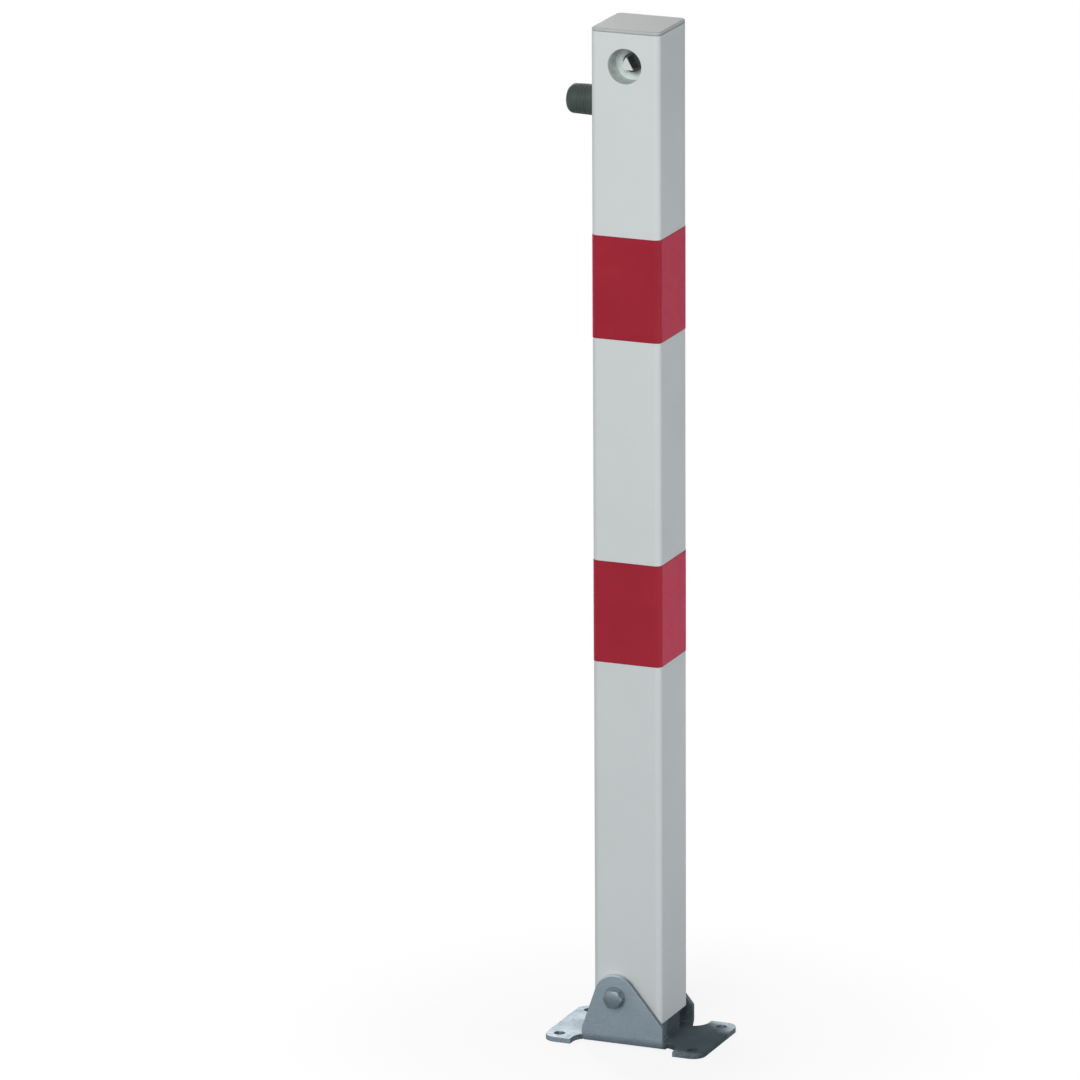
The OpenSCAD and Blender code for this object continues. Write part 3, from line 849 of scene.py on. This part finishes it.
def makePivotBolt(setup):
    low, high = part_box("pivot_bolt")
    x, z = (low.x + high.x) / 2, (low.z + high.z) / 2
    start, end = high.y - setup["threadLength"] * mm, high.y
    radius = setup["radius"] * mm
    bm = bmesh.new()
    bm.from_mesh(nodes["pivot_bolt"].data)
    mergePoints(bm, bm.verts, setup["shankGap"])
    cutOff(bm, bm.verts[:] + bm.edges[:] + bm.faces[:], start, 1)
    # one pitch of the thread's outline, spun along its helix
    pitch = setup["pitch"] * mm
    root = radius - setup["depth"] * mm
    rise, crest, fall, foot = setup["flanks"]
    outline = [(root, rise), (radius, crest), (radius, fall), (root, foot), (root, rise + 1)]
    ring = [bm.verts.new((x + r, start + (t - 1) * pitch, z)) for r, t in outline]
    strip = [bm.edges.new(pair) for pair in zip(ring, ring[1:])]
    turns = math.ceil((end - start) / pitch) + 2
    before = set(bm.faces)
    bmesh.ops.spin(
        bm, geom=ring + strip, cent=(x, 0, z), axis=(0, 1, 0),
        dvec=(0, pitch / setup["steps"], 0), angle=2 * math.pi * turns,
        steps=turns * setup["steps"],
    )
    thread = [f for f in bm.faces if f not in before]
    mergePoints(bm, vertsOf(thread), setup["threadGap"])
    for place, way in ((start, -1), (end, 1)):
        thread = [f for f in bm.faces if f not in before]
        cutOff(bm, vertsOf(thread) + edgesOf(thread) + thread, place, way)
    # the end's chamfer takes the thread down
    tip = end - setup["chamfer"] * mm
    for v in bm.verts:
        if v.co.y > tip:
            out = Vector((v.co.x - x, 0, v.co.z - z))
            most = radius - (v.co.y - tip)
            if out.length > most:
                out *= most / out.length
                v.co.x, v.co.z = x + out.x, z + out.z
    bolt = finishPiece(bm, "threaded_pivot_bolt", "bolt_steel", "base")
    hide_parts("pivot_bolt")


makePivotBolt(boltSetup)
print("bolt threaded")

filmSetup = {
    "seam": 9.5,  # from the rear face's middle to the film's outer end
    "overlap": 18.5,
    "thickness": 0.25,
    "sink": 0.272,  # how far its other side goes down into the inner layer
    "shorter": 0.4,  # than the band is high
    "corner": 1.2,
    "edge": 0.08,
}


def makeFilmLap(setup, band):
    low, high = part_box(band)
    height = high.z - low.z - setup["shorter"] * mm
    size = (setup["overlap"] * mm, setup["thickness"] * mm, height)
    middle = (setup["seam"] * mm + size[0] / 2, high.y + size[1] / 2, (low.z + high.z) / 2)
    place = Vector(middle)
    shape = Matrix.Translation(place) @ Matrix.Diagonal((*size, 1))
    bm = bmesh.new()
    bmesh.ops.create_cube(bm, size=1, matrix=shape)
    for v in bm.verts:
        if v.co.x > place.x:
            v.co.y -= setup["sink"] * mm
    near = [e for e in bm.edges if max(v.co.x for v in e.verts) < place.x]
    corners = [e for e in near if abs(e.verts[0].co.y - e.verts[1].co.y) > size[1] / 2]
    bmesh.ops.bevel(
        bm, geom=corners, offset=setup["corner"] * mm,
        affect="EDGES", segments=5, profile=0.5, material=-1,
    )
    rear = [e for e in bm.edges if min(v.co.y for v in e.verts) > place.y]
    bmesh.ops.bevel(
        bm, geom=rear, offset=setup["edge"] * mm,
        affect="EDGES", segments=2, profile=0.5, material=-1,
    )
    finishPiece(bm, band + "_lap", "red_film", "post", smoothAngle=15)


for band in ("upper_band", "lower_band"):
    makeFilmLap(filmSetup, band)
print("film laps laid")

weldSetup = {
    "leg": 2.6,  # of the fillet
    "fullness": 0.72,  # the bead's radius as a share of the leg
    "ripple": 1.1,  # from one ripple to the next
    "rings": 4,  # to a ripple
    "swell": 0.12,
    "endSize": 0.3,  # the bead's size at its ends
    "growth": 0.25,  # and what each ring adds to it
    "sides": 10,
    "inset": 2.0,  # from the block's corners
}


def makeWeldBead(setup, name, start, end):
    # A row of rings along the joint that swell and shrink
    along = (end - start).normalized()
    count = round((end - start).length / (setup["ripple"] * mm / setup["rings"]))
    radius = setup["leg"] * mm * setup["fullness"]
    turn = along.to_track_quat("Z", "Y").to_matrix().to_4x4()
    size = setup["endSize"]
    bm = bmesh.new()
    first = bmesh.ops.create_circle(
        bm, cap_ends=False, radius=radius * size, segments=setup["sides"],
        matrix=Matrix.Translation(start) @ turn,
    )
    loop = list(dict.fromkeys(e for v in first["verts"] for e in v.link_edges))
    bmesh.ops.holes_fill(bm, edges=loop, sides=0)
    for k in range(1, count + 1):
        made = bmesh.ops.extrude_edge_only(bm, edges=loop)["geom"]
        ring = [v for v in made if isinstance(v, bmesh.types.BMVert)]
        loop = [e for e in made if isinstance(e, bmesh.types.BMEdge)]
        ends = min(1.0, setup["endSize"] + setup["growth"] * min(k, count - k))
        wanted = ends * (1 + setup["swell"] * math.sin(k * 2 * math.pi / setup["rings"]))
        middle = start.lerp(end, (k - 1) / count)
        share = Vector((1, 1, 1)) * wanted / size
        bmesh.ops.scale(bm, verts=ring, vec=share, space=Matrix.Translation(-middle))
        bmesh.ops.translate(bm, verts=ring, vec=(end - start) / count)
        size = wanted
    bmesh.ops.holes_fill(bm, edges=loop, sides=0)
    finishPiece(bm, name, "zinc_sheet", "base", smoothAngle=60)


def weldCatchBlock(setup):
    low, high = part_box("catch_block")
    inset = setup["inset"] * mm
    nearX, farX = low.x + inset, high.x - inset
    nearY, farY = low.y + inset, high.y - inset
    joints = {
        "left": ((low.x, nearY), (low.x, farY)),
        "right": ((high.x, nearY), (high.x, farY)),
        "front": ((nearX, low.y), (farX, low.y)),
        "rear": ((nearX, high.y), (farX, high.y)),
    }
    for side, ends in joints.items():
        start, end = (Vector((*point, low.z)) for point in ends)
        makeWeldBead(setup, "catch_block_weld_" + side, start, end)


weldCatchBlock(weldSetup)
print("welds laid")

# Floor, background and light

stageSetup = {
    "floor": rgb(0.54, 0.585, 0.615),  # its tone for the light that it throws back
    "shownFloor": rgb(0.95, 0.95, 0.95),  # and for the camera
    "floorSize": 20,
    "floorDrop": 0.0003,  # below the foot plate's underside
    "ambient": 0.255,  # what the world gives the object
    "shadowShare": 0.15,  # how much of the floor's own shading the camera sees near the post
    "shadowFade": (0.08, 0.4),  # from the post, where that share starts to fall and ends
    "mirrorFade": (0.3, 1.2),  # the same for what metal shows
}


def makeStagePiece(name, bm, material):
    mesh = bpy.data.meshes.new(name)
    bm.to_mesh(mesh)
    bm.free()
    piece = bpy.data.objects.new(name, mesh)
    scene.collection.objects.link(piece)
    mesh.materials.append(material)
    return piece


def makeFloorMaterial(setup):
    material = bpy.data.materials.new("pale floor")
    material.use_nodes = True
    tree = material.node_tree
    tree.nodes.remove(tree.nodes["Principled BSDF"])
    place = addNode(tree, "TexCoord").outputs["Object"]
    away = addNode(tree, "VectorMath", {0: place}, operation="LENGTH").outputs["Value"]
    rays = addNode(tree, "LightPath").outputs
    mirrored = calc(tree, "MAXIMUM", rays["Is Glossy Ray"], rays["Is Transmission Ray"])
    mirrored = calc(tree, "MULTIPLY", mirrored, remap(tree, away, *setup["mirrorFade"]))
    shown = remap(tree, away, *setup["shadowFade"], 1 - setup["shadowShare"], 1.0)
    shown = calc(tree, "MULTIPLY", rays["Is Camera Ray"], shown)
    share = calc(tree, "ADD", shown, mirrored, clamp=True)
    tone = blend(tree, rays["Is Camera Ray"], setup["floor"], setup["shownFloor"])
    matt = addNode(tree, "BsdfDiffuse", {"Color": tone}).outputs[0]
    glow = addNode(tree, "Emission", {"Color": rgb(1, 1, 1), "Strength": 1.0}).outputs[0]
    mixed = addNode(tree, "MixShader", {0: share, 1: matt, 2: glow}).outputs[0]
    tree.links.new(mixed, tree.nodes["Material Output"].inputs["Surface"])
    return material


def makeFloor(setup):
    place = Matrix.Translation((0, 0, -setup["floorDrop"]))
    bm = bmesh.new()
    bmesh.ops.create_grid(
        bm, x_segments=8, y_segments=8, size=setup["floorSize"], matrix=place
    )
    makeStagePiece("floor", bm, makeFloorMaterial(setup))


def makeWorld(setup):
    world = bpy.data.worlds.new("studio")
    world.use_nodes = True
    scene.world = world
    tree = world.node_tree
    rays = addNode(tree, "LightPath").outputs
    shown = calc(tree, "MAXIMUM", rays["Is Camera Ray"], rays["Is Glossy Ray"])
    shown = calc(tree, "MAXIMUM", shown, rays["Is Transmission Ray"])
    lift = calc(tree, "MULTIPLY", shown, 1 - setup["ambient"])
    background = tree.nodes["Background"]
    background.inputs["Color"].default_value = rgb(1, 1, 1)
    tree.links.new(calc(tree, "ADD", lift, setup["ambient"]), background.inputs["Strength"])


softboxes = {
    "front": {
        "place": (0.1, -2.7, 2.05),
        "target": (0, 0, 1.0),
        "size": (1.4, 1.0),
        "watts": 47,
        "tint": (1, 0.995, 0.985),
    },
    "left rear": {
        "place": (-1.9, 2.6, 1.55),
        "target": (0, 0, 0.1),
        "size": (0.9, 0.7),
        "watts": 48,
        "tint": (1, 0.975, 0.955),
    },
    "right": {
        "place": (2.2, -0.5, 0.12),
        "target": (0, 0, 0.12),
        "size": (0.9, 0.22),
        "watts": 10,
        "tint": (0.92, 0.975, 1),
    },
}


def makeSoftbox(name, setup):
    data = bpy.data.lights.new(name, "AREA")
    data.shape = "RECTANGLE"
    data.size, data.size_y = setup["size"]
    data.energy = setup["watts"]
    data.color = setup["tint"]
    lamp = bpy.data.objects.new(name, data)
    scene.collection.objects.link(lamp)
    place, target = Vector(setup["place"]), Vector(setup["target"])
    aim = (target - place).to_track_quat("-Z", "Y").to_matrix().to_4x4()
    lamp.matrix_world = Matrix.Translation(place) @ aim


# Dark cards that the camera doesn't see. The far flag shows in gloss alone, and the foot flag
# only keeps the left rear lamp off the right foot.
flags = {
    "far flag": {
        "place": (-0.42, 1.15, 0.42),
        "facing": (-0.34, 0.94),
        "size": (1.5, 0.84),
        "shade": False,
    },
    "foot flag": {
        "place": (-0.0175, 0.12, 0.09),
        "facing": (0, 1),
        "size": (0.075, 0.064),
        "shade": True,
    },
}
flagTone = rgb(0.03, 0.03, 0.03)


def makeFlagMaterial():
    material = bpy.data.materials.new("black cloth")
    material.use_nodes = True
    shader = material.node_tree.nodes["Principled BSDF"]
    shader.inputs["Base Color"].default_value = flagTone
    shader.inputs["Roughness"].default_value = 1.0
    return material


def makeFlag(name, setup):
    place = Matrix.Translation(setup["place"])
    turn = Vector((*setup["facing"], 0)).to_track_quat("Z", "Y").to_matrix().to_4x4()
    size = Matrix.Diagonal((*setup["size"], 1, 1))
    bm = bmesh.new()
    bmesh.ops.create_grid(
        bm, x_segments=2, y_segments=2, size=0.5, matrix=place @ turn @ size
    )
    flag = makeStagePiece(name, bm, makeFlagMaterial())
    flag.visible_camera = False
    flag.visible_diffuse = False
    flag.visible_transmission = False
    flag.visible_glossy = not setup["shade"]
    flag.visible_shadow = setup["shade"]


for flagName, flagSetup in flags.items():
    makeFlag(flagName, flagSetup)
makeFloor(stageSetup)
makeWorld(stageSetup)
for boxName, boxSetup in softboxes.items():
    makeSoftbox(boxName + " softbox", boxSetup)
scene.view_settings.view_transform = "Standard"
print("stage and lights set")
